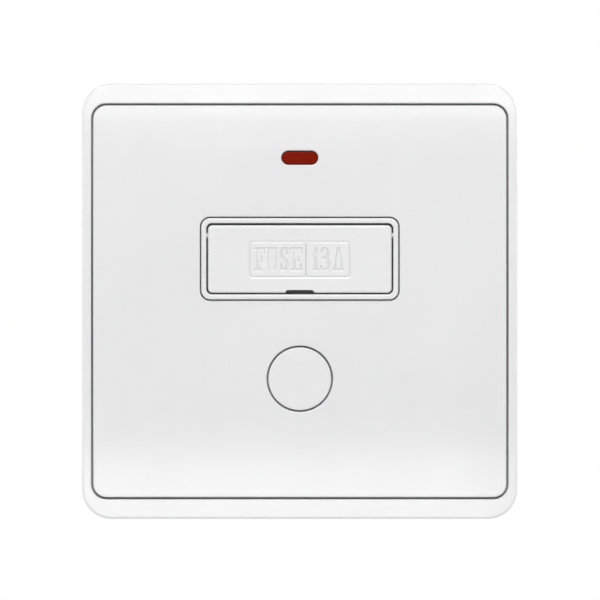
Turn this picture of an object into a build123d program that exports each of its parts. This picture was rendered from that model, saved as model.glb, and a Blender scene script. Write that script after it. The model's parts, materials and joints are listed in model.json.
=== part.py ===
from build123d import *
import os
from math import sqrt

# Unswitched fused spur unit for a one-gang wall box, with a neon indicator, a hinged fuse carrier
# and a blanked flex outlet. A moulded frame screws to the box, a bowed panel clips over it, and a
# rear housing behind the frame holds the terminals.
#
# X points right and Z up as seen from the room, and -Y points at the room. The wall is the plane
# y = 0, midway between the two fixing screws. A "height" is a distance in front of the wall, so
# whatever is sunk in the wall box has a negative height. All sizes are in millimetres.

# Frame and panel
PLATE = 86.0            # side of the square frame
PLATE_CORNER = 5.8
FACE_CROWN = 9.5        # height of the face at the middle of the panel
BOW_RADIUS = 500.0      # the face is a shallow arch from top to bottom
RIM_SIDE = 1.8          # width of the frame's rim beside the panel
RIM_END = 3.9           # width of the frame's rim above and below the panel
RIM_DROP = 0.25         # step from the panel's face down to the rim
RIM_EDGE = 0.5          # rounding of the rim's outer edge
FRAME_WALL = 1.7
FLOOR_TOP = 5.0         # height of the frame's floor, under the panel
FLOOR_T = 2.0
PANEL_GAP = 0.4         # seam between the panel and the rim
BEZEL_SEAM = 0.25       # between the panel and the fuse carrier's bezel
PLUG_SEAM = 0.35        # between the panel and the outlet's plug
PANEL_CORNER = 2.6
PANEL_T = 2.0
PANEL_SKIRT = 1.6       # thickness of the panel's side walls
SHARP_EDGE = 0.25       # rounding of the panel's edges and of the rim's inner edge
CUT_PAST = 1.0          # cuts from the front, and shapes trimmed to the bow, start this far past the face
SEAT_PLAY = 0.2         # play under the panel
RIB_T = 1.2             # stiffening ribs on the frame's back
RIB_PITCH = 16.5
RIB_FOOT = 1.75         # the ribs stop this far short of the wall

# Fixing screws, to the spacing of a one-gang box
FIXING_SPACING = 60.3
FIXING_HOLE_R = 2.1
FIXING_HEAD_R = 3.9
FIXING_BOSS_R = 5.0
FIXING_SEAT = 2.5       # thickness under a screw head

# Pegs that hold the panel on the frame
PEG_R = 1.25
PEG_PLAY = 0.05
PEG_INSET = 5.2         # from the panel's edges
PEG_LENGTH = 3.0        # reach below the top of its socket
PEG_SLOT = 0.6
SOCKET_R = 2.6
SOCKET_RISE = 0.9       # above the floor

# Fuse carrier and the chimney it closes
FUSE_Z = 8.4            # middle of the carrier, above the plate's centre
BEZEL_W = 38.9
BEZEL_H = 16.05
BEZEL_CORNER = 1.75
BEZEL_WALL = 1.0
ROOM_CORNER = 1.1       # of the chimney's inside, round the door
BEZEL_TOP = 10.0
BEZEL_EDGE = 0.35
DOOR_GAP = 0.3
DOOR_GAP_TOP = 0.4
DOOR_T = 2.4
DOOR_CORNER = 0.9
DOOR_EDGE = 0.5
PIVOT_DROP = 2.0        # from the door's top edge
PIVOT_DEPTH = 1.2       # behind the door's face
PIN_R = 0.5
PIN_PLAY = 0.05
PIN_REACH = 0.85        # into the chimney's wall
SWING_PLAY = 0.4        # between the swinging cheeks and the chimney's lower wall
NOTCH_W = 5.9
NOTCH_TOP_W = 5.0
NOTCH_H = 0.55
LABEL_W = 20.5          # mouth of the shallow field for the rating
LABEL_H = 7.6
LABEL_CORNER = 0.6      # at the field's floor
LABEL_DEPTH = 0.14
LABEL_SLOPE = 0.3       # run of the field's sloping walls
LABEL_DROP = 0.15       # middle of the field, under the middle of the carrier
CHIMNEY_BACK_T = 1.4
CHIMNEY_DEPTH = 1.0     # reach of the chimney's room behind the wall

# Cartridge fuse, 25.4 by 6.35, and the cradle behind the door
CARTRIDGE_L = 25.4
CARTRIDGE_R = 3.175
CAP_L = 5.6
CAP_T = 0.5
TUBE_R = 2.95
TUBE_PLAY = 0.02
FUSE_BACK = 4.6         # fuse axis behind the hinge
FUSE_DROP = 6.0         # fuse axis under the hinge
CRADLE_PLAY = 0.05
CHEEK_T = 1.4
CHEEK_PLAY = 0.3
CHEEK_REACH = 8.4       # behind the hinge
CHEEK_RISE = 1.0        # above the hinge
SADDLE_T = 2.2
SADDLE_LIP = 1.4        # beyond the fuse, above and below
CAP_SADDLE_X = 9.4
CLIP_SADDLE_X = 3.2
CLIP_T = 1.0
CLIP_GRIP = 1.5         # reach of the clips past the fuse's axis

# Neon indicator
LENS_Z = 28.35
LENS_W = 7.0
LENS_H = 2.52
LENS_PLAY = 0.12
LENS_PROUD = 0.12
LENS_EDGE = 0.3
FLANGE_T = 1.0
LAMP_L = 8.4
LAMP_R = 2.0
LAMP_PLAY = 0.25
LAMP_ROOM = 14.0        # length of the lamp's chamber
CHAMBER_WALL = 1.2
CHAMBER_FLOOR = 0.6     # height of the chamber's floor
LEAD_R = 0.35
LEAD_HOLE_R = 0.6
LEAD_SPREAD = 1.4       # between the two leads where they leave the lamp
LEAD_X = 6.2            # where the live lead turns back
LEAD_STEP = 1.0         # the neutral lead turns back this much earlier
LEAD_DROP_H = 1.4       # height at which the leads go down into the housing
LEAD_PASS = 2.0         # they turn back again this far above the chimney
RESISTOR_L = 5.2
RESISTOR_R = 0.95
RESISTOR_WAIST_R = 0.8
RESISTOR_END = 1.3
RESISTOR_Z = 12.2
RESISTOR_GAP = 2.0      # from the live lead's bend

# Flex outlet and its blanking plug
OUTLET_Z = -15.3
PLUG_R = 6.2
COLLAR_BORE_R = 5.25
COLLAR_R = 6.8
PLUG_PLAY = 0.05
PLUG_SKIRT_T = 1.1
PLUG_SKIRT_L = 5.0
PLUG_SLOT = 1.0

# Rear housing
HOUSING_W = 50.0
HOUSING_TOP = 24.5
HOUSING_BOTTOM = -27.0
HOUSING_DEPTH = 20.0    # behind the wall
HOUSING_CORNER = 2.5
HOUSING_EDGE = 0.8
HOUSING_WALL = 1.4
HOUSING_PLAY = 0.1      # from the housing to the ribs and bosses beside it
BAY_TOP = -7.6          # open bay for the flex, between the neutral terminals
BAY_CORNER = 2.0
BOSS_R = 3.3
UPPER_BOSS_Z = 20.4
LOWER_BOSS_Z = -10.8
HOUSING_SCREW_R = 1.45
HOUSING_SCREW_HEAD_R = 2.4
HOUSING_SCREW_HEAD_H = 1.9
HOUSING_SCREW_L = 11.0
HOUSING_SEAT = -4.5     # height of the seats under the screw heads
SCREW_PLAY = 0.05
PILOT_RISE = 1.6        # pilot bosses above the frame's floor
PILOT_R = 2.9

# Terminals
TERMINAL_W = 6.0
TERMINAL_D = 8.0
TERMINAL_L = 9.0
TERMINAL_EDGE = 0.4
TERMINAL_PLAY = 0.1
TERMINAL_FRONT = -5.5   # height of the face that the straps lie on
WIRE_R = 2.0
WIRE_COVER = 1.0        # brass between the wire's hole and the front face
CELL_WALL = 1.2
CELL_RIB = 0.8          # between neighbouring terminals
LIVE_INSET = 6.5        # from the housing's side to the middle of a live terminal
EARTH_WALL = 1.0        # housing wall beside the earth terminals
ENTRY_W = 5.0           # wire slots in the housing's ends, open towards the frame
ENTRY_DROP = 3.2        # they reach this far behind the middle of the wire
TERMINAL_SCREW_R = 1.7
TERMINAL_SCREW_HEAD_R = 2.7
TERMINAL_SCREW_HEAD_H = 2.0
TERMINAL_SCREW_LIFT = 0.5   # slack under the head of an open terminal
SCREW_TIP_PLAY = 0.2        # from the tip of an open screw to the wire's hole
ACCESS_R = 3.1
SLOT_W = 0.8
SLOT_DEPTH = 0.9

# Straps and fuse contacts, of brass strip
STRIP_T = 0.8
NEUTRAL_STRIP = 2.4
NEUTRAL_CROSS_Z = (-4.6, -1.6)
EARTH_STRIP = 2.2
EARTH_CROSS_Z = (-0.2, 2.6)
STRAP_INSET = 0.3       # from the edge of a terminal
STRAP_PLAY = 0.3        # from the neutral link to the bay's wall
STRAP_FOOT = 1.0        # from the wire end of a terminal
CONTACT_STRIP = 4.0
CONTACT_X = (8.5, 11.5)
CONTACT_R = 2.4         # outside radius of the spring arch
CONTACT_T = 0.6
CONTACT_PLAY = 0.125    # from the arch to the fuse's cap
CONTACT_SLOT_PLAY = 0.3

# Cord grip
POST_R = 2.6
POST_PLAY = 0.5         # from a post to the bay's side
GRIP_Z = -24.2
GRIP_GAP = 7.4          # from the frame's floor to the clamp
GRIP_PLAY = 0.4         # from the clamp to the bay's side
GRIP_H = 6.4
GRIP_T = 3.6
GRIP_CORNER = 1.2
GRIP_GROOVE_R = 6.0
GRIP_GROOVE = 1.0
GRIP_SCREW_R = 1.45
GRIP_SCREW_HEAD_R = 2.6
GRIP_SCREW_HEAD_H = 1.8
GRIP_SCREW_REACH = 5.0  # into the post
GRIP_PILOT = 1.0        # the screw's hole beyond its tip

# Derived sizes
FLOOR_REAR = FLOOR_TOP - FLOOR_T
PANEL_W = PLATE - 2 * (RIM_SIDE + PANEL_GAP)
PANEL_H = PLATE - 2 * (RIM_END + PANEL_GAP)
PEG_X = PANEL_W / 2 - PEG_INSET
PEG_Z = PANEL_H / 2 - PEG_INSET
SOCKET_TOP = FLOOR_TOP + SOCKET_RISE
ROOM_W = BEZEL_W - 2 * BEZEL_WALL
ROOM_H = BEZEL_H - 2 * BEZEL_WALL
DOOR_TOP_Z = FUSE_Z + ROOM_H / 2 - DOOR_GAP_TOP
DOOR_FOOT_Z = FUSE_Z - ROOM_H / 2 + DOOR_GAP
DOOR_X = ROOM_W / 2 - DOOR_GAP
DOOR_REAR = BEZEL_TOP - DOOR_T
PIVOT_Z = DOOR_TOP_Z - PIVOT_DROP
PIVOT_H = BEZEL_TOP - PIVOT_DEPTH
SWING_R = PIVOT_Z - (FUSE_Z - ROOM_H / 2) - SWING_PLAY
CARTRIDGE_H = PIVOT_H - FUSE_BACK
CARTRIDGE_Z = PIVOT_Z - FUSE_DROP
CHIMNEY_REAR = -CHIMNEY_DEPTH - CHIMNEY_BACK_T
LAMP_H = CHAMBER_FLOOR + LAMP_PLAY + LAMP_R
CHAMBER_REAR = CHAMBER_FLOOR - CHAMBER_WALL
CHAMBER_H = 2 * (LAMP_R + LAMP_PLAY)
FLANGE_W = LAMP_ROOM + 2 * CHAMBER_WALL
FLANGE_H = CHAMBER_H + 2 * CHAMBER_WALL
TERMINAL_REAR = TERMINAL_FRONT - TERMINAL_D
WIRE_H = TERMINAL_FRONT - WIRE_COVER - WIRE_R
EARTH_X = HOUSING_W / 2 - EARTH_WALL - TERMINAL_PLAY - TERMINAL_W / 2
NEUTRAL_X = EARTH_X - TERMINAL_W - 2 * TERMINAL_PLAY - CELL_RIB
LIVE_X = HOUSING_W / 2 - LIVE_INSET
NEUTRAL_LEG = NEUTRAL_X - TERMINAL_W / 2 + STRAP_INSET
EARTH_LEG = EARTH_X + TERMINAL_W / 2 - STRAP_INSET
BAY_W = 2 * (NEUTRAL_LEG - STRAP_PLAY - HOUSING_WALL)
UPPER_BOSS_X = (LEAD_X + LEAD_HOLE_R + LIVE_X - CONTACT_STRIP / 2) / 2
LOWER_BOSS_X = (NEUTRAL_LEG + NEUTRAL_STRIP + EARTH_LEG - EARTH_STRIP) / 2
POST_X = BAY_W / 2 - POST_R - POST_PLAY
GRIP_W = BAY_W - 2 * GRIP_PLAY
STRAP_TOP = TERMINAL_FRONT + STRIP_T
CONTACT_TOP = CARTRIDGE_H - CARTRIDGE_R - CONTACT_PLAY
GRIP_TOP = FLOOR_REAR - GRIP_GAP
HOUSING_REAR = -HOUSING_DEPTH
TERMINALS = {
    "live_supply_terminal": (-LIVE_X, 1),
    "live_load_terminal": (LIVE_X, 1),
    "neutral_supply_terminal": (-NEUTRAL_X, -1),
    "neutral_load_terminal": (NEUTRAL_X, -1),
    "earth_supply_terminal": (-EARTH_X, -1),
    "earth_load_terminal": (EARTH_X, -1),
}   # where each one sits across the housing, and whether its wire enters from above or below
HOUSING_BOSSES = [
    (side * x, z)
    for x, z in ((UPPER_BOSS_X, UPPER_BOSS_Z), (LOWER_BOSS_X, LOWER_BOSS_Z))
    for side in (-1, 1)
]


def face_height(z):
    """Height of the bowed face, at z above the plate's centre."""
    return FACE_CROWN - BOW_RADIUS + sqrt(BOW_RADIUS**2 - z**2)


def slab(outline, low, high):
    """An outline, drawn as seen from the room, made solid between two heights."""
    return extrude(Plane.XZ.offset(low) * outline, high - low)


def bowed(outline, low, drop=0.0):
    """An outline made solid from a height up to the bowed face, or to a surface that lies drop under it."""
    arch = Pos(0, BOW_RADIUS - FACE_CROWN, 0) * Cylinder(BOW_RADIUS - drop, 2 * PLATE, rotation=(0, 90, 0))
    return slab(outline, low, FACE_CROWN + CUT_PAST) & arch


def block(x, height, z):
    """A box between the low and high value on each axis."""
    (x0, x1), (h0, h1), (z0, z1) = sorted(x), sorted(height), sorted(z)
    return Pos((x0 + x1) / 2, -(h0 + h1) / 2, (z0 + z1) / 2) * Box(x1 - x0, h1 - h0, z1 - z0)


def bar_across(radius, x, height, z):
    """A round bar along X."""
    return Pos((x[0] + x[1]) / 2, -height, z) * Cylinder(radius, x[1] - x[0], rotation=(0, 90, 0))


def disc(x, z, radius):
    return Pos(x, z) * Circle(radius)


def bezel_outline(grow=0.0):
    """Outline of the fuse carrier's bezel, grown on every side."""
    return Pos(0, FUSE_Z) * RectangleRounded(BEZEL_W + 2 * grow, BEZEL_H + 2 * grow, BEZEL_CORNER + grow)


def lens_outline(grow=0.0):
    return Pos(0, LENS_Z) * SlotOverall(LENS_W + 2 * grow, LENS_H + 2 * grow)


def front_edges(part, height):
    """The edges whose middle lies further from the wall than a height."""
    return part.edges().filter_by(lambda edge: -edge.center().Y > height)


def pins(radius, centres, low, high):
    """Round bars from one height to another, at each centre."""
    return slab(Sketch() + [disc(x, z, radius) for x, z in centres], low, high)


def four_corners(x, z):
    return [(i * x, j * z) for i in (-1, 1) for j in (-1, 1)]


def both_sides(part):
    """A part at the right, and its mirror image at the left."""
    return part + mirror(part, about=Plane.YZ)


# Frame

def frame_tray():
    """The rim with its bowed front, the recess for the panel and the hollow back with its ribs."""
    rim = bowed(RectangleRounded(PLATE, PLATE, PLATE_CORNER), 0, RIM_DROP)
    rim = fillet(front_edges(rim, FLOOR_TOP), RIM_EDGE)
    recess = RectangleRounded(PANEL_W + 2 * PANEL_GAP, PANEL_H + 2 * PANEL_GAP, PANEL_CORNER + PANEL_GAP)
    inside = PLATE - 2 * FRAME_WALL
    hollow = RectangleRounded(inside, inside, PLATE_CORNER - FRAME_WALL)
    rim -= slab(recess, FLOOR_TOP, FACE_CROWN + CUT_PAST)
    tray = fillet(mouth_edges(rim), SHARP_EDGE) - slab(hollow, 0, FLOOR_REAR)
    ribs = Sketch()
    for step in (-2, -1, 1, 2):
        ribs += Pos(0, step * RIB_PITCH) * Rectangle(inside + FRAME_WALL, RIB_T)
        ribs += Pos(step * RIB_PITCH, 0) * Rectangle(RIB_T, inside + FRAME_WALL)
    return tray + slab(ribs - housing_block(HOUSING_PLAY), RIB_FOOT, FLOOR_REAR)


def mouth_edges(rim):
    """The front edges of the recess in the rim."""
    side, end = PANEL_W / 2 + 2 * PANEL_GAP, PANEL_H / 2 + 2 * PANEL_GAP
    edges = front_edges(rim, FLOOR_TOP).filter_by(Axis.Y, reverse=True)
    return edges.filter_by(lambda edge: abs(edge.center().X) < side and abs(edge.center().Z) < end)


def base_frame():
    """The frame that screws to the wall box, with the chimney, collar, chamber and posts moulded on it."""
    fixings = [(-FIXING_SPACING / 2, 0), (FIXING_SPACING / 2, 0)]
    sockets = four_corners(PEG_X, PEG_Z)
    posts = [(-POST_X, GRIP_Z), (POST_X, GRIP_Z)]
    collar_top = face_height(OUTLET_Z - COLLAR_R) - PANEL_T - SEAT_PLAY
    chamber = Pos(0, LENS_Z) * Rectangle(FLANGE_W, FLANGE_H)
    room = slab(Pos(0, FUSE_Z) * RectangleRounded(ROOM_W, ROOM_H, ROOM_CORNER),
                -CHIMNEY_DEPTH, BEZEL_TOP)
    chimney = slab(bezel_outline(), CHIMNEY_REAR, BEZEL_TOP) - room
    chimney = fillet(front_edges(chimney, BEZEL_TOP - BEZEL_EDGE), BEZEL_EDGE)

    frame = frame_tray() - slab(bezel_outline(), FLOOR_REAR, FLOOR_TOP) + chimney
    frame += pins(FIXING_BOSS_R, fixings, 0, FLOOR_TOP) - slab(housing_block(HOUSING_PLAY), 0, FLOOR_REAR)
    frame += pins(SOCKET_R, sockets, FLOOR_REAR, SOCKET_TOP)
    frame += pins(COLLAR_R, [(0, OUTLET_Z)], FLOOR_REAR, collar_top)
    frame += pins(POST_R, posts, GRIP_TOP, FLOOR_REAR)
    frame += pins(PILOT_R, HOUSING_BOSSES, FLOOR_REAR, FLOOR_TOP + PILOT_RISE)
    frame += slab(chamber, CHAMBER_REAR, FLOOR_TOP)

    frame -= pins(FIXING_HEAD_R, fixings, FIXING_SEAT, FLOOR_TOP)
    frame -= pins(FIXING_HOLE_R, fixings, 0, FLOOR_TOP)
    frame -= pins(PEG_R + PEG_PLAY, sockets, 0, SOCKET_TOP)
    frame -= pins(COLLAR_BORE_R, [(0, OUTLET_Z)], FLOOR_REAR, collar_top)
    frame -= pins(GRIP_SCREW_R + SCREW_PLAY, posts, GRIP_TOP, GRIP_TOP + GRIP_SCREW_REACH + GRIP_PILOT)
    frame -= pins(HOUSING_SCREW_R + SCREW_PLAY, HOUSING_BOSSES, FLOOR_REAR,
                  HOUSING_SEAT + HOUSING_SCREW_L + SCREW_TIP_PLAY)
    frame -= slab(Pos(0, LENS_Z) * Rectangle(LAMP_ROOM, CHAMBER_H), CHAMBER_FLOOR, FLOOR_TOP)
    frame -= lead_holes(LENS_Z - FLANGE_H / 2, LENS_Z - CHAMBER_H / 2)
    frame -= bar_across(PIN_R + PIN_PLAY, (-BEZEL_W / 2, BEZEL_W / 2), PIVOT_H, PIVOT_Z)
    slot = block((CONTACT_X[0] - CONTACT_SLOT_PLAY, CONTACT_X[1] + CONTACT_SLOT_PLAY),
                 (CHIMNEY_REAR, -CHIMNEY_DEPTH),
                 (CARTRIDGE_Z - CONTACT_R - CONTACT_SLOT_PLAY, CARTRIDGE_Z + CONTACT_R + CONTACT_SLOT_PLAY))
    return frame - both_sides(slot)


# Panel

def front_plate():
    """The clip-on panel: a bowed shell with windows for the lens, the fuse carrier and the flex outlet."""
    outline = RectangleRounded(PANEL_W, PANEL_H, PANEL_CORNER)
    inside = offset(outline, -PANEL_SKIRT)
    skin = bowed(outline, FLOOR_TOP + SEAT_PLAY)
    windows = bezel_outline(BEZEL_SEAM) + lens_outline(LENS_PLAY) + disc(0, OUTLET_Z, PLUG_R + PLUG_SEAM)
    skin -= slab(windows, FLOOR_TOP, FACE_CROWN + CUT_PAST)
    skin = fillet(front_edges(skin, FACE_CROWN - PANEL_T), SHARP_EDGE)
    panel = skin - bowed(inside, FLOOR_TOP, PANEL_T)
    corners = four_corners(PEG_X, PEG_Z)
    pegs = pins(PEG_R, corners, SOCKET_TOP - PEG_LENGTH, FACE_CROWN)
    pegs -= slab(Sketch() + [Pos(x, z) * Rectangle(PEG_SLOT, 2 * PEG_R) for x, z in corners],
                 SOCKET_TOP - PEG_LENGTH, SOCKET_TOP)
    pegs += pins(SOCKET_R, corners, SOCKET_TOP + SEAT_PLAY, FACE_CROWN)
    return panel + (pegs & bowed(outline, SOCKET_TOP - PEG_LENGTH, PANEL_T / 2))


# Fuse carrier

def label_field():
    """The shallow field in the door that takes the rating, with walls that slope in to its floor."""
    width, height = LABEL_W - 2 * LABEL_SLOPE, LABEL_H - 2 * LABEL_SLOPE
    floor = RectangleRounded(width, height, LABEL_CORNER)
    mouth = RectangleRounded(LABEL_W, LABEL_H, LABEL_CORNER + LABEL_SLOPE)
    place = Pos(0, FUSE_Z - LABEL_DROP)
    low, high = Plane.XZ.offset(BEZEL_TOP - LABEL_DEPTH), Plane.XZ.offset(BEZEL_TOP)
    return loft([low * place * floor, high * place * mouth], ruled=True)


def saddle(x, bore, grip):
    """A rib behind the door that carries the fuse, with clips that reach grip past the fuse's axis."""
    across = (x - SADDLE_T / 2, x + SADDLE_T / 2)
    reach = CARTRIDGE_R + SADDLE_LIP
    lips = (CARTRIDGE_Z - reach, CARTRIDGE_Z + reach)
    rib = block(across, (CARTRIDGE_H, DOOR_REAR), lips)
    if grip:
        clip = bar_across(bore + CLIP_T, across, CARTRIDGE_H, CARTRIDGE_Z)
        rib += clip & block(across, (CARTRIDGE_H - grip, DOOR_REAR), lips)
    return rib - bar_across(bore, across, CARTRIDGE_H, CARTRIDGE_Z)


def fuse_carrier():
    """The door, its hinge pins, and the cradle behind it, rounded to swing about the pins."""
    door = block((-DOOR_X, DOOR_X), (DOOR_REAR, BEZEL_TOP), (DOOR_FOOT_Z, DOOR_TOP_Z))
    door = fillet(door.edges().filter_by(Axis.Y), DOOR_CORNER)
    door = fillet(front_edges(door, BEZEL_TOP - DOOR_EDGE / 2), DOOR_EDGE)
    half, top = NOTCH_W / 2, NOTCH_TOP_W / 2
    notch = Polygon((-half, 0), (half, 0), (top, NOTCH_H), (-top, NOTCH_H), align=None)
    door -= slab(Pos(0, DOOR_FOOT_Z) * notch, DOOR_REAR, BEZEL_TOP)
    door -= label_field()

    swing = bar_across(SWING_R, (-DOOR_X, DOOR_X), PIVOT_H, PIVOT_Z)
    cheek_x = CARTRIDGE_L / 2 + CHEEK_PLAY
    cheek = block((cheek_x, cheek_x + CHEEK_T), (PIVOT_H - CHEEK_REACH, DOOR_REAR),
                  (PIVOT_Z - SWING_R, PIVOT_Z + CHEEK_RISE))
    cradle = cheek + saddle(CAP_SADDLE_X, CARTRIDGE_R + CRADLE_PLAY, 0)
    cradle += saddle(CLIP_SADDLE_X, TUBE_R + CRADLE_PLAY, CLIP_GRIP)
    reach = DOOR_X + DOOR_GAP + PIN_REACH
    hinge = bar_across(PIN_R, (-reach, reach), PIVOT_H, PIVOT_Z)
    return door + (both_sides(cradle) & swing) + hinge


def fuse_tube():
    half = CARTRIDGE_L / 2 - CAP_T
    return bar_across(TUBE_R, (-half, half), CARTRIDGE_H, CARTRIDGE_Z)


def fuse_end_caps():
    end = CARTRIDGE_L / 2
    cap = bar_across(CARTRIDGE_R, (end - CAP_L, end), CARTRIDGE_H, CARTRIDGE_Z)
    cap = fillet(cap.edges().sort_by(Axis.X)[-1], CAP_T)
    cap -= bar_across(TUBE_R + TUBE_PLAY, (end - CAP_L, end - CAP_T), CARTRIDGE_H, CARTRIDGE_Z)
    return both_sides(cap)


# Neon indicator

def neon_lens():
    """The red light guide: a slotted nose through the panel and a flange over the lamp's chamber."""
    nose = slab(lens_outline(), FLOOR_TOP, face_height(LENS_Z) + LENS_PROUD)
    nose = fillet(front_edges(nose, face_height(LENS_Z)), LENS_EDGE)
    return nose + slab(Pos(0, LENS_Z) * Rectangle(FLANGE_W, FLANGE_H), FLOOR_TOP, FLOOR_TOP + FLANGE_T)


def neon_lamp():
    """The glass envelope, lying across the chamber, with a rounded tip and a pinched end."""
    lamp = bar_across(LAMP_R, (-LAMP_L / 2, LAMP_L / 2), LAMP_H, LENS_Z)
    tip = lamp.edges().filter_by(GeomType.CIRCLE).sort_by(Axis.X)[0]
    lamp = fillet(tip, LAMP_R * 0.9)
    pinch = lamp.edges().filter_by(GeomType.CIRCLE).sort_by(Axis.X)[-1]
    return chamfer(pinch, LAMP_R * 0.4)


def lead_bends():
    """Where the live and the neutral lead turn back from the lamp, as x and z."""
    return [(LEAD_X, LENS_Z + LEAD_SPREAD / 2), (LEAD_X - LEAD_STEP, LENS_Z - LEAD_SPREAD / 2)]


def lead_holes(low, high):
    """Upright holes for both leads, from one z to another."""
    return Part() + [Pos(x, -LEAD_DROP_H, (low + high) / 2) * Cylinder(LEAD_HOLE_R, high - low)
                     for x, _ in lead_bends()]


def lead_height():
    """Height at which the leads pass behind the chimney."""
    return (CHIMNEY_REAR + STRAP_TOP) / 2


def wire(points):
    """A lead through points given as (x, height, z), bent with small radii."""
    route = FilletPolyline(*[(x, -height, z) for x, height, z in points], radius=LEAD_R * 2)
    return sweep(Plane(route @ 0, z_dir=route % 0) * Circle(LEAD_R), route)


def lead_from_lamp(bend):
    """The bends of a lead from the lamp's end, through the chamber's lower wall, to behind the chimney."""
    x, z = bend
    turn = FUSE_Z + BEZEL_H / 2 + LEAD_PASS
    return [(LAMP_L / 2, LAMP_H, z), (x, LAMP_H, z), (x, LEAD_DROP_H, z), (x, LEAD_DROP_H, turn),
            (x, lead_height(), turn)]


def neon_leads():
    """Live lead to the resistor and on to the load contact, and neutral lead to the neutral link."""
    live, neutral = lead_bends()
    level = lead_height()
    near, far = resistor_span()
    cross = sum(NEUTRAL_CROSS_Z) / 2
    upper = wire(lead_from_lamp(live) + [(live[0], level, RESISTOR_Z), (near, level, RESISTOR_Z)])
    lower = wire([(far, level, RESISTOR_Z), (LIVE_X, level, RESISTOR_Z), (LIVE_X, STRAP_TOP, RESISTOR_Z)])
    back = wire(lead_from_lamp(neutral) + [(neutral[0], level, cross), (neutral[0], STRAP_TOP, cross)])
    return Compound(children=[upper, lower, back])


def resistor_span():
    """Low and high x of the resistor, which lies across the housing beside the live lead."""
    near = LEAD_X + RESISTOR_GAP
    return near, near + RESISTOR_L


def neon_resistor():
    """A small dumb-bell resistor in the live lead."""
    near, far = resistor_span()
    body = bar_across(RESISTOR_WAIST_R, (near, far), lead_height(), RESISTOR_Z)
    for x in (near, far - RESISTOR_END):
        end = bar_across(RESISTOR_R, (x, x + RESISTOR_END), lead_height(), RESISTOR_Z)
        body += fillet(end.edges().filter_by(GeomType.CIRCLE), RESISTOR_R / 4)
    return body


# Flex outlet

def flex_outlet_plug():
    """A disc flush with the panel, on a split skirt that presses into the outlet's collar."""
    collar_top = face_height(OUTLET_Z - COLLAR_R) - PANEL_T - SEAT_PLAY
    cap = bowed(disc(0, OUTLET_Z, PLUG_R), collar_top)
    cap = fillet(front_edges(cap, collar_top + PANEL_T / 2), SHARP_EDGE)
    outside = COLLAR_BORE_R - PLUG_PLAY
    skirt = disc(0, OUTLET_Z, outside) - disc(0, OUTLET_Z, outside - PLUG_SKIRT_T)
    for width, height in ((2 * COLLAR_R, PLUG_SLOT), (PLUG_SLOT, 2 * COLLAR_R)):
        skirt -= Pos(0, OUTLET_Z) * Rectangle(width, height)
    return cap + slab(skirt, collar_top - PLUG_SKIRT_L, collar_top)


# Rear housing

def housing_block(grow=0.0):
    """Outline of the rear housing with its flex bay, grown on every side."""
    middle, height = (HOUSING_TOP + HOUSING_BOTTOM) / 2, HOUSING_TOP - HOUSING_BOTTOM
    return Pos(0, middle) * RectangleRounded(HOUSING_W + 2 * grow, height + 2 * grow, HOUSING_CORNER + grow)


def housing_outline(grow=0.0):
    """The same outline without the bay, which makes it an arch that is open below for the flex."""
    bay_w, bay_top = BAY_W - 2 * grow, BAY_TOP - grow
    low = HOUSING_BOTTOM - HOUSING_CORNER - PLATE
    bay = Pos(0, (bay_top + low) / 2) * RectangleRounded(bay_w, bay_top - low, BAY_CORNER)
    return housing_block(grow) - bay


def terminal_span(entry):
    """Low and high z of a terminal whose wire enters from above (1) or below (-1)."""
    end = (HOUSING_TOP if entry > 0 else HOUSING_BOTTOM) - entry * (HOUSING_WALL + TERMINAL_PLAY)
    return tuple(sorted((end, end - entry * TERMINAL_L)))


def rear_housing():
    """The moulded back: a shell with a cell for each terminal, wire slots and screw bosses."""
    shell = slab(housing_outline(), HOUSING_REAR, FLOOR_REAR)
    rear_edges = shell.edges().filter_by(lambda edge: -edge.center().Y < HOUSING_REAR + HOUSING_EDGE / 2)
    shell = fillet(rear_edges, HOUSING_EDGE)
    housing = shell - slab(housing_outline(-HOUSING_WALL), HOUSING_REAR + HOUSING_WALL, FLOOR_REAR)

    cells, pockets, entries, access = Part(), Part(), Part(), []
    for x, entry in TERMINALS.values():
        z0, z1 = terminal_span(entry)
        pocket = TERMINAL_W / 2 + TERMINAL_PLAY
        cell = pocket + CELL_WALL
        cells += block((x - cell, x + cell), (HOUSING_REAR, TERMINAL_FRONT), (z0 - CELL_WALL, z1 + CELL_WALL))
        pockets += block((x - pocket, x + pocket), (TERMINAL_REAR, FLOOR_REAR),
                         (z0 - TERMINAL_PLAY, z1 + TERMINAL_PLAY))
        wall = (z1, z1 + 2 * HOUSING_WALL) if entry > 0 else (z0 - 2 * HOUSING_WALL, z0)
        entries += block((x - ENTRY_W / 2, x + ENTRY_W / 2), (WIRE_H - ENTRY_DROP, FLOOR_REAR), wall)
        access.append((x, (z0 + z1) / 2))
    bosses = pins(BOSS_R, HOUSING_BOSSES, HOUSING_REAR, FLOOR_REAR)
    half = HOUSING_WALL / 2
    housing += (cells + bosses) & slab(housing_outline(-half), HOUSING_REAR + half, FLOOR_REAR)
    housing -= pockets + entries
    housing -= pins(ACCESS_R, access, HOUSING_REAR, TERMINAL_REAR)
    housing -= pins(HOUSING_SCREW_HEAD_R + SCREW_PLAY, HOUSING_BOSSES, HOUSING_REAR, HOUSING_SEAT)
    housing -= pins(HOUSING_SCREW_R + SCREW_PLAY, HOUSING_BOSSES, HOUSING_SEAT, FLOOR_REAR)
    return housing - lead_holes(HOUSING_TOP - HOUSING_WALL, HOUSING_TOP)


def screw(x, z, tip, seat, radius, head_r, head_h):
    """A slotted screw driven from behind, with its tip and the underside of its head at two heights."""
    body = pins(radius, [(x, z)], seat, tip)
    head = pins(head_r, [(x, z)], seat - head_h, seat)
    rear = head.edges().filter_by(GeomType.CIRCLE).sort_by(Axis.Y)[-1]
    head = fillet(rear, head_h / 4)
    slot = block((x - head_r, x + head_r), (seat - head_h, seat - head_h + SLOT_DEPTH),
                 (z - SLOT_W / 2, z + SLOT_W / 2))
    return body + head - slot


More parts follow.
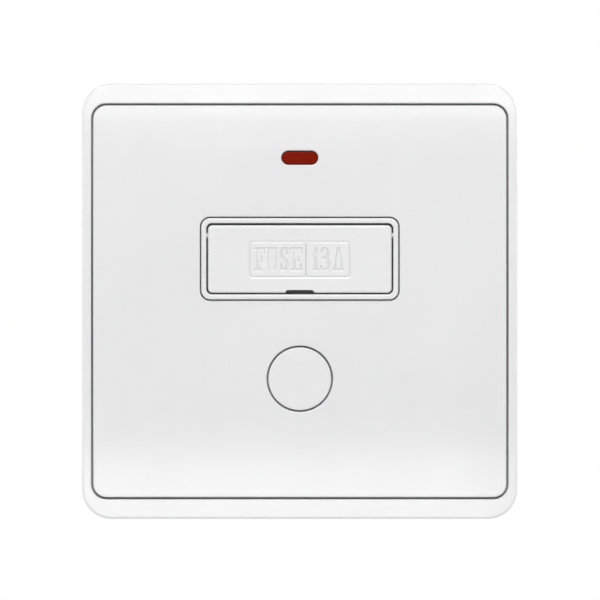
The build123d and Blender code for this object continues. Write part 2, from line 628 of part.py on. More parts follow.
def housing_screws():
    return Compound(children=[
        screw(x, z, HOUSING_SEAT + HOUSING_SCREW_L, HOUSING_SEAT, HOUSING_SCREW_R,
              HOUSING_SCREW_HEAD_R, HOUSING_SCREW_HEAD_H)
        for x, z in HOUSING_BOSSES
    ])


# Terminals and straps

def terminal(x, entry):
    """A brass block with a hole for the wire and a tapped hole for the screw behind it."""
    z0, z1 = terminal_span(entry)
    body = block((x - TERMINAL_W / 2, x + TERMINAL_W / 2), (TERMINAL_REAR, TERMINAL_FRONT), (z0, z1))
    body = chamfer(body.edges().filter_by(Axis.Z), TERMINAL_EDGE)
    body -= Pos(x, -WIRE_H, (z0 + z1) / 2) * Cylinder(WIRE_R, TERMINAL_L)
    return body - pins(TERMINAL_SCREW_R + SCREW_PLAY, [(x, (z0 + z1) / 2)], TERMINAL_REAR, WIRE_H)


def terminal_screws():
    """One screw for each terminal, backed off to leave the wire's hole clear."""
    tip = WIRE_H - WIRE_R - SCREW_TIP_PLAY
    return Compound(children=[
        screw(x, sum(terminal_span(entry)) / 2, tip, TERMINAL_REAR - TERMINAL_SCREW_LIFT,
              TERMINAL_SCREW_R, TERMINAL_SCREW_HEAD_R, TERMINAL_SCREW_HEAD_H)
        for x, entry in TERMINALS.values()
    ])


def link(outer_x, width, cross):
    """An arch of brass strip from one lower terminal to its partner, passing over the flex bay."""
    foot = terminal_span(-1)[0] + STRAP_FOOT
    leg = block((outer_x - width, outer_x), (TERMINAL_FRONT, STRAP_TOP), (foot, cross[1]))
    return both_sides(leg) + block((-outer_x, outer_x), (TERMINAL_FRONT, STRAP_TOP), cross)


def neutral_link():
    return link(NEUTRAL_LEG + NEUTRAL_STRIP, NEUTRAL_STRIP, NEUTRAL_CROSS_Z)


def earth_strap():
    return link(EARTH_LEG, EARTH_STRIP, EARTH_CROSS_Z)


def fuse_contact():
    """The right-hand contact: a strip from the live terminal to a sprung arch behind the fuse's cap."""
    low, high = CARTRIDGE_Z - CONTACT_R, CARTRIDGE_Z + CONTACT_R
    near, far = LIVE_X - CONTACT_STRIP / 2, LIVE_X + CONTACT_STRIP / 2
    strip = block((near, far), (TERMINAL_FRONT, STRAP_TOP), (low, terminal_span(1)[1] - STRAP_FOOT))
    strip += block((CONTACT_X[0], far), (TERMINAL_FRONT, STRAP_TOP), (low, high))
    crown = CONTACT_TOP - CONTACT_R
    inner = CONTACT_R - CONTACT_T
    arch = bar_across(CONTACT_R, CONTACT_X, crown, CARTRIDGE_Z)
    arch += block(CONTACT_X, (STRAP_TOP, crown), (low, high))
    arch -= bar_across(inner, CONTACT_X, crown, CARTRIDGE_Z)
    arch -= block(CONTACT_X, (STRAP_TOP, crown), (CARTRIDGE_Z - inner, CARTRIDGE_Z + inner))
    arch -= block(CONTACT_X, (STRAP_TOP - PLATE, STRAP_TOP), (low, high))
    return strip + arch


# Cord grip

def cord_clamp():
    """A bar over two posts, with a hollow on the side that bears on the flex."""
    outline = Pos(0, GRIP_Z) * RectangleRounded(GRIP_W, GRIP_H, GRIP_CORNER)
    clamp = slab(outline, GRIP_TOP - GRIP_T, GRIP_TOP)
    groove = Pos(0, -(GRIP_TOP + GRIP_GROOVE_R - GRIP_GROOVE), GRIP_Z) * Cylinder(GRIP_GROOVE_R, GRIP_H)
    return clamp - groove - pins(GRIP_SCREW_R + SCREW_PLAY, [(-POST_X, GRIP_Z), (POST_X, GRIP_Z)],
                                 GRIP_TOP - GRIP_T, GRIP_TOP)


def cord_clamp_screws():
    return Compound(children=[
        screw(x, GRIP_Z, GRIP_TOP + GRIP_SCREW_REACH, GRIP_TOP - GRIP_T, GRIP_SCREW_R,
              GRIP_SCREW_HEAD_R, GRIP_SCREW_HEAD_H)
        for x in (-POST_X, POST_X)
    ])


def main():
    contact = fuse_contact()
    nodes = {
        "base_frame": base_frame(),
        "front_plate": front_plate(),
        "fuse_carrier": fuse_carrier(),
        "fuse_tube": fuse_tube(),
        "fuse_end_caps": fuse_end_caps(),
        "neon_lens": neon_lens(),
        "neon_lamp": neon_lamp(),
        "neon_leads": neon_leads(),
        "neon_resistor": neon_resistor(),
        "flex_outlet_plug": flex_outlet_plug(),
        "rear_housing": rear_housing(),
        "housing_screws": housing_screws(),
        "terminal_screws": terminal_screws(),
        "neutral_link": neutral_link(),
        "earth_strap": earth_strap(),
        "load_fuse_contact": contact,
        "supply_fuse_contact": mirror(contact, about=Plane.YZ),
        "cord_clamp": cord_clamp(),
        "cord_clamp_screws": cord_clamp_screws(),
    }
    for name, (x, entry) in TERMINALS.items():
        nodes[name] = terminal(x, entry)
    os.makedirs("parts", exist_ok=True)
    for name, shape in nodes.items():
        export_step(shape, f"parts/{name}.step")


main()
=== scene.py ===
"""Looks of a fused spur unit: finishes for every piece, moulded marks, studio light and camera."""
import json
import math

import bmesh
import bpy
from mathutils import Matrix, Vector
from mathutils.geometry import delaunay_2d_cdt


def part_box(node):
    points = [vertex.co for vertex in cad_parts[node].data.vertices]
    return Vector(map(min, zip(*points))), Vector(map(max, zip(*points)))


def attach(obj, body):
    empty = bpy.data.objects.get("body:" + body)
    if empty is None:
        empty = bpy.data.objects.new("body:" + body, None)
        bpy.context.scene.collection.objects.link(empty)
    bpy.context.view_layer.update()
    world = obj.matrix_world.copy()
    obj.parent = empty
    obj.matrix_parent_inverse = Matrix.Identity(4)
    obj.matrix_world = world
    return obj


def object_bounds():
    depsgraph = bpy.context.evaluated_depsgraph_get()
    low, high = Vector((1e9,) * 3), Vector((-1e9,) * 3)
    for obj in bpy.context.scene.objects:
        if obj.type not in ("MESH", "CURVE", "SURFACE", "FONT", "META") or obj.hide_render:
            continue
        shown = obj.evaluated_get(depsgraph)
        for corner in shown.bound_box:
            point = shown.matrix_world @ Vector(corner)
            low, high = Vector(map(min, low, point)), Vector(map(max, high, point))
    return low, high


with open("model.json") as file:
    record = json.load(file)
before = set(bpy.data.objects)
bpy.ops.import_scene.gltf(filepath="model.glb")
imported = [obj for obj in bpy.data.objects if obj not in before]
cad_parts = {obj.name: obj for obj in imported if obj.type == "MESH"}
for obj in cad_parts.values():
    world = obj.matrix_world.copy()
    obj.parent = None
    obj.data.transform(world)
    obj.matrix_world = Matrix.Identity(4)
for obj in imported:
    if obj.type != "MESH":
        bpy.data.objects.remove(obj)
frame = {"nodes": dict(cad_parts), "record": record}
cad_box = [list(corner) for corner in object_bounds()]
nodes = frame["nodes"]
MM = 0.001

# Camera, from the photograph's scale and framing
IMAGE_PX = 600
PX_PER_MM = 5.065
CENTRE_PX = (299.8, 301.3)      # where the object's centre falls in the photograph
CAMERA_DISTANCE = 3.0           # from the wall plane
CAMERA_REACH = 50.0             # farthest distance that it shows
SENSOR = 36.0

# Studio, in metres
FLOOR_DROP = 0.25               # floor under the object's lowest point
FLOOR_SIZE = 12.0
FLOOR_TONES = (0.86, 0.8428)    # of its paler and its darker patches
FLOOR_LIFT = (0.1, 0.6)         # white added to the floor as it is seen, near the object and far from it
FLOOR_NEAR, FLOOR_FAR = 0.3, 1.6
AMBIENT = 0.36                  # world light on the object
LIGHTS = {                      # place, size and radiance of each soft light
    "upper_strip": ((0.01, -1.1, 0.245), (0.2, 0.06), 5.6),
    "lower_strip": ((-0.057, -0.55, -0.137), (0.22, 0.07), 3.9),
    "key": ((-0.05, -0.8, 0.88), (0.8, 0.8), 4.4),
    "left_fill": ((-1.2, 0.1, 0.25), (0.8, 0.8), 1.6),
    "right_fill": ((1.2, 0.1, 0.25), (0.8, 0.8), 1.7),
    "rear_fill": ((0.9, 0.9, 0.45), (0.9, 0.8), 2.9),
}

# Finishes of the record's slots: gloss is roughness, grain is relief in metres, scales are per metre
PLASTICS = {
    "panel_plastic": dict(tone=(0.79, 0.79, 0.795), gloss=0.11, grain=0.6e-6, grain_scale=2600),
    "frame_plastic": dict(tone=(0.8, 0.8, 0.805), gloss=0.13, grain=0.6e-6, grain_scale=2600),
    "carrier_plastic": dict(tone=(0.807, 0.807, 0.81), gloss=0.12, grain=0.6e-6, grain_scale=2600),
    "housing_plastic": dict(tone=(0.68, 0.68, 0.655), gloss=0.42, grain=3.0e-6, grain_scale=1700),
}
METALS = {
    "nickel_plate": dict(tone=(0.66, 0.63, 0.57), stain=(0.58, 0.54, 0.47), gloss=0.22,
                         grain_scale=900, stretch=(1, 6, 6)),
    "tinned_wire": dict(tone=(0.62, 0.62, 0.6), stain=(0.5, 0.5, 0.48), gloss=0.32, grain_scale=1500),
    "terminal_brass": dict(tone=(0.72, 0.47, 0.17), stain=(0.6, 0.37, 0.12), gloss=0.27,
                           grain_scale=700, stretch=(6, 6, 1)),
    "strip_brass": dict(tone=(0.71, 0.46, 0.17), stain=(0.57, 0.35, 0.12), gloss=0.33,
                        grain_scale=800, stretch=(1, 6, 6)),
    "screw_brass": dict(tone=(0.7, 0.48, 0.2), stain=(0.55, 0.36, 0.13), gloss=0.3, grain_scale=1100),
    "zinc_steel": dict(tone=(0.6, 0.61, 0.62), stain=(0.5, 0.5, 0.49), gloss=0.3, grain_scale=1100),
}
COATINGS = {
    "fuse_ceramic": dict(tone=(0.77, 0.74, 0.67), speck=(0.66, 0.62, 0.54), gloss=0.55,
                         grain=2.0e-6, grain_scale=2200),
    "resistor_coat": dict(tone=(0.55, 0.42, 0.22), speck=(0.45, 0.33, 0.16), gloss=0.35,
                          grain=1.0e-6, grain_scale=2600),
}
LENS_TINTS = ((0.195, 0.0075, 0.0008), (0.212, 0.0092, 0.0014))
GLASS_TINTS = ((0.95, 0.93, 0.9), (0.82, 0.8, 0.78))
CLOUDING = 0.012                # how far the tone of plastic drifts either way
METAL_GRAIN = 0.5e-6
POLISH = 0.8                    # gloss of a metal's smoothest spots, as a share of its own
PAINTED_SHADE_REACH = 1.2             # how far apart the walls of a hollow with painted shade may be, in millimetres
PAINTED_SHADE_OPENNESS = (0.35, 0.8)     # openness of a spot, from fully in painted shade to unshaded
# painted shade: the stain tone darkened to this share deep in hollows
PAINTED_SHADE_TONE = 0.25
SPECK_SHARES = (0.45, 0.7)      # noise at which a speck starts and at which it is full

# Rating plates in the field of the fuse carrier's door, in millimetres from the unit's centre
FIELD_DEPTH = 0.14              # the plates fill it, level with the door's face
FIELD_Z = 8.25                  # middle of the field
PLATE_X = ((-9.65, 0.97), (1.47, 9.65))
PLATE_HEIGHT = 6.4
PLATE_CORNER = 0.5
WORD_START = (-9.12, 2.45)      # left end of each word
WORD_Z = (5.92, 10.7)           # foot and top of the letters
LETTER_GAP = 0.17
STEM, HAIR = 0.72, 0.6          # widths of the letters' thick and thin strokes
ENGRAVED_SLOPE = 0.26           # run of the sloping walls of letters and plates

# Terminal marks on the back of the housing, in millimetres
MARK_OFFSET = 5.5               # from the middle of a terminal
MARK_SIZE = (1.7, 2.4)
WORD_OFFSET = 10.0
WORD_HEIGHT = 2.0
WORD_PITCH = 1.6                # width of a word for each letter
MARK_RISE = 0.4
MARK_SLOPE = 0.05               # run of the letters' walls
MARK_WEIGHT = 0.02              # thickening of the letters, in shares of their height

# Outlines and walls of all marks
CURVE_STEPS = 8                 # straight lengths in a round stretch
INSIDE = 1                      # triangulation of what the outlines hold, and nothing else
JOIN_WITHIN = 1e-4              # points of crossing strokes nearer than this are one, in millimetres
WELD_SHARE = 0.001              # points of a wall nearer than this share of its run are one
SHARP_FROM = math.radians(30)   # a bend in the walls that shows as an edge
FOOT = "foot"                   # mesh attribute: 1 at the foot of the walls, 0 on the face; it masks the painted shade there
PAINTED_FOOT_SHADE = 0.74                # painted shade at the foot of the walls, as a share of the unshaded tone


# Node helpers

def new_material(name):
    """A node material, its tree and its Principled shader."""
    material = bpy.data.materials.new(name)
    material.use_nodes = True
    tree = material.node_tree
    return material, tree, tree.nodes["Principled BSDF"]


def add(tree, kind, **settings):
    """A new node, with its settings and its input values by name."""
    node = tree.nodes.new(kind)
    for key, value in settings.items():
        if hasattr(node, key):
            setattr(node, key, value)
        else:
            node.inputs[key].default_value = value
    return node


def noise(tree, scale, detail=3.0, stretch=(1, 1, 1)):
    """Noise over the object's own coordinates, in features per metre."""
    coords = add(tree, "ShaderNodeTexCoord")
    mapping = add(tree, "ShaderNodeMapping", Scale=stretch)
    texture = add(tree, "ShaderNodeTexNoise", Scale=scale, Detail=detail)
    tree.links.new(coords.outputs["Object"], mapping.inputs["Vector"])
    tree.links.new(mapping.outputs["Vector"], texture.inputs["Vector"])
    return texture.outputs["Fac"]


def spread(tree, factor, low=0.0, high=1.0, start=0.35, end=0.65):
    """Turns a factor that runs from start to end into a value from low to high."""
    node = add(tree, "ShaderNodeMapRange")
    for name, value in zip(("From Min", "From Max", "To Min", "To Max"), (start, end, low, high)):
        node.inputs[name].default_value = value
    tree.links.new(factor, node.inputs["Value"])
    return node.outputs["Result"]


def drift(tree, scale, value, share):
    """A value that wanders by a share of itself either way."""
    return spread(tree, noise(tree, scale), value * (1 - share), value * (1 + share))


def shade(tone, share):
    """A tone made darker or lighter."""
    return tuple(part * share for part in tone)


def two_tone(tree, factor, first, second):
    """Mixes two colours by a factor. Each is a tone, or the output of another node."""
    node = add(tree, "ShaderNodeMix", data_type="RGBA")
    colours = [socket for socket in node.inputs if socket.type == "RGBA"]
    for socket, tone in zip(colours, (first, second)):
        if isinstance(tone, tuple):
            socket.default_value = (*tone, 1)
        else:
            tree.links.new(tone, socket)
    tree.links.new(factor, node.inputs["Factor"])
    return [socket for socket in node.outputs if socket.type == "RGBA"][0]


def bump(tree, shader, factor, height):
    """Small relief, with its height in metres."""
    node = add(tree, "ShaderNodeBump", Strength=1.0, Distance=height)
    tree.links.new(factor, node.inputs["Height"])
    tree.links.new(node.outputs["Normal"], shader.inputs["Normal"])


# Materials

def moulded_plastic(name, tone, gloss, grain, grain_scale):
    """Moulded plastic: slight clouding, uneven gloss, a fine mould texture and painted shade at the foot of
    its marks' walls.
    """
    material, tree, shader = new_material(name)
    clouds = spread(tree, noise(tree, scale=45))
    unshaded = two_tone(tree, clouds, shade(tone, 1 - CLOUDING), shade(tone, 1 + CLOUDING))
    foot = add(tree, "ShaderNodeAttribute", attribute_name=FOOT)
    # painted shade: the tone darkens towards the foot of the marks' walls
    colour = two_tone(tree, foot.outputs["Fac"], unshaded, shade(tone, PAINTED_FOOT_SHADE))
    tree.links.new(colour, shader.inputs["Base Color"])
    tree.links.new(drift(tree, scale=120, value=gloss, share=0.12), shader.inputs["Roughness"])
    shader.inputs["IOR"].default_value = 1.5
    bump(tree, shader, noise(tree, grain_scale, detail=2.0), grain)
    return material


def red_lens():
    """Deep red light guide, unlit, with a slightly uneven tint."""
    material, tree, shader = new_material("red_lens")
    tint = spread(tree, noise(tree, scale=500))
    tree.links.new(two_tone(tree, tint, *LENS_TINTS), shader.inputs["Base Color"])
    tree.links.new(spread(tree, noise(tree, scale=300), low=0.3, high=0.4), shader.inputs["Roughness"])
    shader.inputs["IOR"].default_value = 1.49
    shader.inputs["Specular IOR Level"].default_value = 0.05
    bump(tree, shader, noise(tree, scale=1800, detail=2.0), height=0.8e-6)
    return material


def metal(name, tone, stain, gloss, grain_scale, stretch=(1, 1, 1)):
    """A worked metal with stains, fine tool marks and painted shade down in its slots and corners."""
    material, tree, shader = new_material(name)
    stains = spread(tree, noise(tree, scale=180, detail=4.0))
    unshaded = two_tone(tree, stains, tone, stain)
    # painted shade: occlusion darkens the colour in slots and corners
    hollow = add(tree, "ShaderNodeAmbientOcclusion", only_local=True, samples=8, Distance=PAINTED_SHADE_REACH * MM)
    fully_shaded, open_from = PAINTED_SHADE_OPENNESS
    openness = spread(tree, hollow.outputs["AO"], start=fully_shaded, end=open_from)
    tree.links.new(two_tone(tree, openness, shade(stain, PAINTED_SHADE_TONE), unshaded), shader.inputs["Base Color"])
    shader.inputs["Metallic"].default_value = 1.0
    marks = noise(tree, grain_scale, stretch=stretch)
    tree.links.new(spread(tree, marks, gloss * POLISH, gloss / POLISH), shader.inputs["Roughness"])
    bump(tree, shader, marks, METAL_GRAIN)
    return material


def speckled(name, tone, speck, gloss, grain, grain_scale):
    """A fired or lacquered surface with fine specks."""
    material, tree, shader = new_material(name)
    faint, full = SPECK_SHARES
    specks = spread(tree, noise(tree, grain_scale, detail=4.0), start=faint, end=full)
    tree.links.new(two_tone(tree, specks, tone, speck), shader.inputs["Base Color"])
    tree.links.new(drift(tree, grain_scale / 2, gloss, share=0.1), shader.inputs["Roughness"])
    bump(tree, shader, noise(tree, grain_scale, detail=2.0), grain)
    return material


def lamp_glass():
    """Thin clear glass with a faint smoky film."""
    material, tree, shader = new_material("lamp_glass")
    film = spread(tree, noise(tree, scale=400))
    tree.links.new(two_tone(tree, film, *GLASS_TINTS), shader.inputs["Base Color"])
    tree.links.new(spread(tree, noise(tree, scale=250), low=0.03, high=0.09), shader.inputs["Roughness"])
    shader.inputs["Transmission Weight"].default_value = 0.9
    shader.inputs["IOR"].default_value = 1.47
    return material


def finishes():
    """One material for each of the record's slots."""
    made = {"red_lens": red_lens(), "lamp_glass": lamp_glass()}
    for make, kinds in ((moulded_plastic, PLASTICS), (metal, METALS), (speckled, COATINGS)):
        for slot, looks in kinds.items():
            made[slot] = make(slot, **looks)
    return made


def dress(materials):
    """Gives each CAD node the finish of its slot."""
    for entry in frame["record"]["subparts"]:
        mesh = nodes[entry["node"]].data
        mesh.materials.clear()
        mesh.materials.append(materials[entry["material_slot"]])


# Outlines in millimetres, as Bezier points of (left handle, point, right handle)

def word_outlines(text, span_x, span_y):
    """A word in plain letters, stretched to fill a low and a high value on each axis."""
    source = bpy.data.objects.new("word", bpy.data.curves.new("word", "FONT"))
    source.data.body = text
    source.data.offset = MARK_WEIGHT
    bpy.context.scene.collection.objects.link(source)
    splines = source.to_curve(bpy.context.evaluated_depsgraph_get()).splines
    drawn = [[(p.handle_left.xy, p.co.xy, p.handle_right.xy) for p in s.bezier_points] for s in splines]
    source.to_curve_clear()
    bpy.data.objects.remove(source)
    points = [point for outline in drawn for _, point, _ in outline]
    low = [min(point[i] for point in points) for i in (0, 1)]
    high = [max(point[i] for point in points) for i in (0, 1)]

    def fit(point):
        share = [(point[i] - low[i]) / (high[i] - low[i]) for i in (0, 1)]
        return Vector([span[0] + s * (span[1] - span[0]) for s, span in zip(share, (span_x, span_y))])

    return [[tuple(fit(point) for point in knot) for knot in outline] for outline in drawn]


def arc(centre, radii, start, end, steps=16):
    """Points along an ellipse, from one angle to another in degrees."""
    angles = [math.radians(start + (end - start) * i / steps) for i in range(steps + 1)]
    return [(centre[0] + radii[0] * math.cos(a), centre[1] + radii[1] * math.sin(a)) for a in angles]


def slab_letters():
    """Letters with slab serifs: a width in millimetres, then strokes through a cell 1 wide and 1 high."""
    stem = [(STEM, [(0.3, 0), (0.3, 1)])]
    top_arm = [(HAIR, [(0, 1), (1, 1)]), (HAIR, [(1, 1), (1, 0.76)])]
    middle_arm = [(HAIR, [(0.3, 0.52), (0.7, 0.52)]), (HAIR, [(0.7, 0.42), (0.7, 0.62)])]
    low_arm = [(HAIR, [(0, 0), (1, 0)]), (HAIR, [(1, 0), (1, 0.24)])]
    cup = [(0.18, 1)] + arc((0.5, 0.28), (0.32, 0.28), 180, 360) + [(0.82, 1)]
    bends = arc((0.5, 0.76), (0.42, 0.24), 55, 225) + arc((0.5, 0.24), (0.44, 0.24), 45, -125)
    waist = [(0.34, 0.54)]
    upper_bowl = arc((0.44, 0.77), (0.42, 0.23), 155, -90) + waist
    lower_bowl = waist + arc((0.44, 0.27), (0.54, 0.27), 90, -155)
    legs = [(HAIR, [(0.19, 0.04), (0.48, 1)]), (STEM, [(0.56, 1), (0.83, 0.04)])]
    return {
        "F": (2.3, stem + top_arm + middle_arm + [(HAIR, [(0, 0), (0.62, 0)])]),
        "E": (2.5, stem + top_arm + middle_arm + low_arm),
        "U": (2.4, [(STEM, cup), (HAIR, [(0, 1), (0.38, 1)]), (HAIR, [(0.65, 1), (1, 1)])]),
        "S": (2.0, [(STEM, bends), (HAIR, [(0.88, 1), (0.88, 0.74)]), (HAIR, [(0.12, 0), (0.12, 0.26)])]),
        "1": (1.3, [(STEM, [(0.6, 0), (0.6, 1)]), (HAIR, [(0.5, 0.88), (0, 0.68)]),
                    (HAIR, [(0.1, 0), (1, 0)])]),
        "3": (2.2, [(STEM, upper_bowl), (STEM, lower_bowl)]),
        "A": (2.6, legs + [(HAIR, [(0.34, 0.32), (0.7, 0.32)]),
                           (HAIR, [(0, 0), (0.34, 0)]), (HAIR, [(0.66, 0), (1, 0)])]),
    }


def pen_stroke(points, width):
    """The outline of a pen stroke along points, with square ends."""
    ways = [(b - a).normalized() for a, b in zip(points, points[1:])]
    points = [points[0] - ways[0] * HAIR / 2] + points[1:-1] + [points[-1] + ways[-1] * HAIR / 2]
    left, right = [], []
    for point, before, after in zip(points, ways[:1] + ways, ways + ways[-1:]):
        middle = (before + after).normalized()
        side = middle.orthogonal() * width / 2 / middle.dot(before)
        left.append(point + side)
        right.append(point - side)
    return left + right[::-1]


def united(polygons):
    """The outlines round overlapping polygons, anticlockwise, and round the gaps in them, clockwise."""
    corners = [corner for polygon in polygons for corner in polygon]
    faces, first = [], 0
    for polygon in polygons:
        faces.append(list(range(first, first + len(polygon))))
        first += len(polygon)
    points, _, triangles, *_ = delaunay_2d_cdt(corners, [], faces, INSIDE, JOIN_WITHIN)
    sides = {(a, b) for t in triangles for a, b in zip(t, (*t[1:], t[0]))}
    following = {a: b for a, b in sides if (b, a) not in sides}
    outlines = []
    while following:
        loop = [min(following)]
        while loop[-1] in following:
            loop.append(following.pop(loop[-1]))
        outlines.append([(points[i],) * 3 for i in loop[1:]])
    return outlines


def slab_word(text, start, span_y):
    """The outlines of a word in letters with slab serifs, from its left end."""
    letters, strokes = slab_letters(), []
    corner = Vector((start + HAIR / 2, span_y[0] + HAIR / 2))
    height = span_y[1] - span_y[0] - HAIR
    for letter in text:
        width, pens = letters[letter]
        cell = Vector((width - HAIR, height))
        for pen, points in pens:
            strokes.append(pen_stroke([corner + Vector(point) * cell for point in points], pen))
        corner.x += width + LETTER_GAP
    return united(strokes)


def rounded_rectangle(x, y, corner):
    """A rounded rectangle between a low and a high value on each axis, anticlockwise."""
    handle = corner * 4 / 3 * (math.sqrt(2) - 1)
    ways = [Vector(way) for way in ((1, 0), (0, 1), (-1, 0), (0, -1))]
    outline = []
    for i, point in enumerate(((x[1], y[0]), (x[1], y[1]), (x[0], y[1]), (x[0], y[0]))):
        into, out = ways[i], ways[(i + 1) % 4]
        start, end = Vector(point) - into * corner, Vector(point) + out * corner
        outline += [(start, start, start + into * handle), (end - out * handle, end, end)]
    return outline


def backwards(outline):
    """An outline run the other way, which makes it a hole."""
    return [(right, point, left) for left, point, right in reversed(outline)]


# Marks

def bevelled_curve(outlines, slope):
    """A filled flat curve from outlines, with its edges bevelled outwards by slope."""
    curve = bpy.data.curves.new("sheet", "CURVE")
    curve.dimensions = "2D"
    curve.fill_mode = "BOTH"
    curve.bevel_depth = slope
    curve.bevel_resolution = 0
    curve.resolution_u = CURVE_STEPS
    for outline in outlines:
        spline = curve.splines.new("BEZIER")
        spline.bezier_points.add(len(outline) - 1)
        spline.use_cyclic_u = True
        if all(left == point == right for left, point, right in outline):
            spline.resolution_u = 1
        for knot, (left, point, right) in zip(spline.bezier_points, outline):
            knot.handle_left_type = knot.handle_right_type = "FREE"
            knot.co, knot.handle_left, knot.handle_right = point.to_3d(), left.to_3d(), right.to_3d()
    return curve


def sloped_sheet(outlines, slope):
    """A closed flat mesh from outlines: its face is as drawn, and its walls run out by slope to its back."""
    source = bpy.data.objects.new("sheet", bevelled_curve(outlines, slope))
    bpy.context.scene.collection.objects.link(source)
    mesh = bpy.data.meshes.new_from_object(source.evaluated_get(bpy.context.evaluated_depsgraph_get()))
    bpy.data.objects.remove(source)
    for vertex in mesh.vertices:
        vertex.co.z = max(vertex.co.z, 0)
    solid = bmesh.new()
    solid.from_mesh(mesh)
    bmesh.ops.remove_doubles(solid, verts=solid.verts, dist=slope * WELD_SHARE)
    bmesh.ops.recalc_face_normals(solid, faces=solid.faces)
    solid.to_mesh(mesh)
    solid.free()
    mesh.set_sharp_from_angle(angle=SHARP_FROM)
    # mask of the painted shade at the foot of the walls
    foot = mesh.attributes.new(FOOT, "FLOAT", "POINT")
    for vertex, spot in zip(mesh.vertices, foot.data):
        spot.value = 1 - vertex.co.z / slope
    return mesh


def moulded_mark(name, outlines, slope, rise, base_y, facing, body, material):
    """A mark that stands on a flat face at base_y and looks at the room (-1) or at the wall box (1)."""
    mesh = sloped_sheet(outlines, slope)
    for vertex in mesh.vertices:
        x, y, z = vertex.co
        vertex.co = Vector((-facing * x, base_y / MM + facing * z / slope * rise, y)) * MM
    mesh.materials.clear()
    mesh.materials.append(material)
    piece = bpy.data.objects.new(name, mesh)
    bpy.context.scene.collection.objects.link(piece)
    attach(piece, body)


def rating_plates(materials):
    """Two plates that fill the field in the fuse carrier's door, with plain engraved letters."""
    floor_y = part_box("fuse_carrier")[0].y + FIELD_DEPTH * MM
    span_z = (FIELD_Z - PLATE_HEIGHT / 2, FIELD_Z + PLATE_HEIGHT / 2)
    plates = zip(("fuse_plate", "rating_plate"), ("FUSE", "13A"), PLATE_X, WORD_START)
    for name, text, span_x, start in plates:
        edge = rounded_rectangle(span_x, span_z, PLATE_CORNER)
        letters = [backwards(outline) for outline in slab_word(text, start, WORD_Z)]
        moulded_mark(name, [edge] + letters, ENGRAVED_SLOPE, FIELD_DEPTH, floor_y, -1,
                     "carrier", materials["carrier_plastic"])


def terminal_marks(materials):
    """Raised letters on the back of the housing, beside the terminals, and a word for each side."""
    rear_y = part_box("rear_housing")[1].y
    for pole, letter, inward in (("live", "L", -1), ("neutral", "N", 1), ("earth", "E", 1)):
        for side, word in (("supply", "SUPPLY"), ("load", "LOAD")):
            low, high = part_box(f"{pole}_{side}_terminal")
            x, z = -(low.x + high.x) / 2 / MM, (low.z + high.z) / 2 / MM
            marks = [(f"mark_{pole}_{side}", letter, *MARK_SIZE, MARK_OFFSET)]
            if pole == "live":
                marks.append((f"mark_{side}", word, WORD_PITCH * len(word), WORD_HEIGHT, WORD_OFFSET))
            for name, text, width, height, offset in marks:
                middle = z + inward * offset
                span_x, span_z = (x - width / 2, x + width / 2), (middle - height / 2, middle + height / 2)
                moulded_mark(name, word_outlines(text, span_x, span_z), MARK_SLOPE, MARK_RISE, rear_y, 1,
                             "base", materials["housing_plastic"])


# Studio

def seen_rays(tree):
    """1 for rays from the camera and for those that mirrors and glass pass on, and 0 for the rest."""
    path = add(tree, "ShaderNodeLightPath")
    seen = path.outputs["Is Camera Ray"]
    for ray in ("Is Glossy Ray", "Is Transmission Ray"):
        either = add(tree, "ShaderNodeMath", operation="MAXIMUM")
        tree.links.new(seen, either.inputs[0])
        tree.links.new(path.outputs[ray], either.inputs[1])
        seen = either.outputs[0]
    return seen


def studio_world():
    """White for what the camera, mirrors and glass see, and a softer level for the light on the object."""
    world = bpy.data.worlds.new("studio")
    world.use_nodes = True
    tree = world.node_tree
    background = tree.nodes["Background"]
    background.inputs["Color"].default_value = (1, 1, 1, 1)
    level = spread(tree, seen_rays(tree), low=AMBIENT, high=1.0, start=0, end=1)
    tree.links.new(level, background.inputs["Strength"])
    bpy.context.scene.world = world


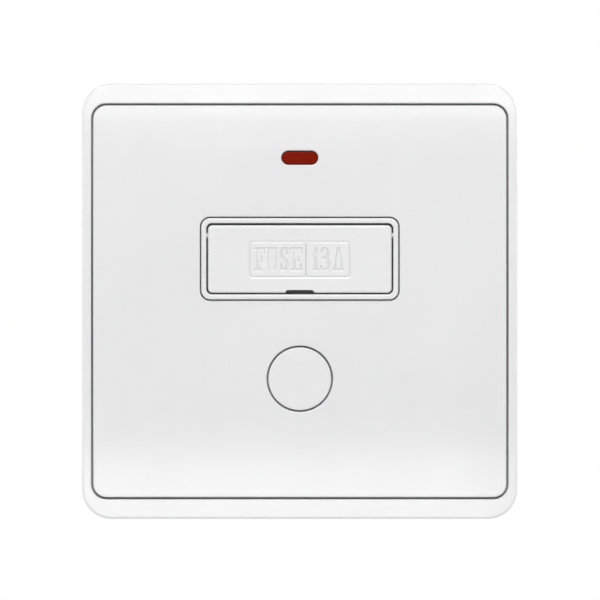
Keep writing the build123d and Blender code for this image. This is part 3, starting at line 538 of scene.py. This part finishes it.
def floor_paint():
    """Pale paint, slightly clouded, that is lifted to white where it is seen."""
    material, tree, shader = new_material("floor_paint")
    pale, dark = ((tone,) * 3 for tone in FLOOR_TONES)
    clouds = spread(tree, noise(tree, scale=3))
    tree.links.new(two_tone(tree, clouds, pale, dark), shader.inputs["Base Color"])
    shader.inputs["Roughness"].default_value = 0.9
    shader.inputs["Emission Color"].default_value = (1, 1, 1, 1)
    coords = add(tree, "ShaderNodeTexCoord")
    away = add(tree, "ShaderNodeVectorMath", operation="LENGTH")
    tree.links.new(coords.outputs["Object"], away.inputs[0])
    lift = add(tree, "ShaderNodeMath", operation="MULTIPLY")
    tree.links.new(spread(tree, away.outputs["Value"], *FLOOR_LIFT, FLOOR_NEAR, FLOOR_FAR), lift.inputs[0])
    tree.links.new(seen_rays(tree), lift.inputs[1])
    tree.links.new(lift.outputs[0], shader.inputs["Emission Strength"])
    return material


def studio_floor():
    """A plain floor that keeps the object's shadow."""
    half = FLOOR_SIZE / 2
    z = cad_box[0][2] - FLOOR_DROP
    corners = [(-half, -half, z), (half, -half, z), (half, half, z), (-half, half, z)]
    mesh = bpy.data.meshes.new("floor")
    mesh.from_pydata(corners, [], [(0, 1, 2, 3)])
    mesh.materials.append(floor_paint())
    floor = bpy.data.objects.new("floor", mesh)
    bpy.context.scene.collection.objects.link(floor)


def softbox(name, place, size, radiance):
    """A rectangular soft light that looks at the object, as bright as its radiance."""
    data = bpy.data.lights.new(name, "AREA")
    data.shape = "RECTANGLE"
    data.size, data.size_y = size
    data.energy = radiance * math.pi * size[0] * size[1]
    light = bpy.data.objects.new(name, data)
    light.location = place
    light.rotation_euler = (-Vector(place)).to_track_quat("-Z", "Y").to_euler()
    light.visible_camera = False
    bpy.context.scene.collection.objects.link(light)


def studio_lights():
    """Two bright strips that the bowed face mirrors near its ends, a key from above and fill all round."""
    for name, light in LIGHTS.items():
        softbox(name, *light)


def studio_camera():
    """A long lens, straight on, with the photograph's scale and framing."""
    data = bpy.data.cameras.new("camera")
    front = -cad_box[0][1]
    width = IMAGE_PX / PX_PER_MM * MM
    data.sensor_width = SENSOR
    data.lens = SENSOR * (CAMERA_DISTANCE - front) / width
    data.clip_end = CAMERA_REACH
    camera = bpy.data.objects.new("camera", data)
    across = (IMAGE_PX / 2 - CENTRE_PX[0]) / PX_PER_MM * MM
    up = (CENTRE_PX[1] - IMAGE_PX / 2) / PX_PER_MM * MM
    camera.location = (across, -CAMERA_DISTANCE, up)
    camera.rotation_euler = (math.radians(90), 0, 0)
    bpy.context.scene.collection.objects.link(camera)
    bpy.context.scene.camera = camera


materials = finishes()
dress(materials)
rating_plates(materials)
terminal_marks(materials)
studio_world()
studio_floor()
studio_lights()
studio_camera()
bpy.context.scene.view_settings.view_transform = "Standard"
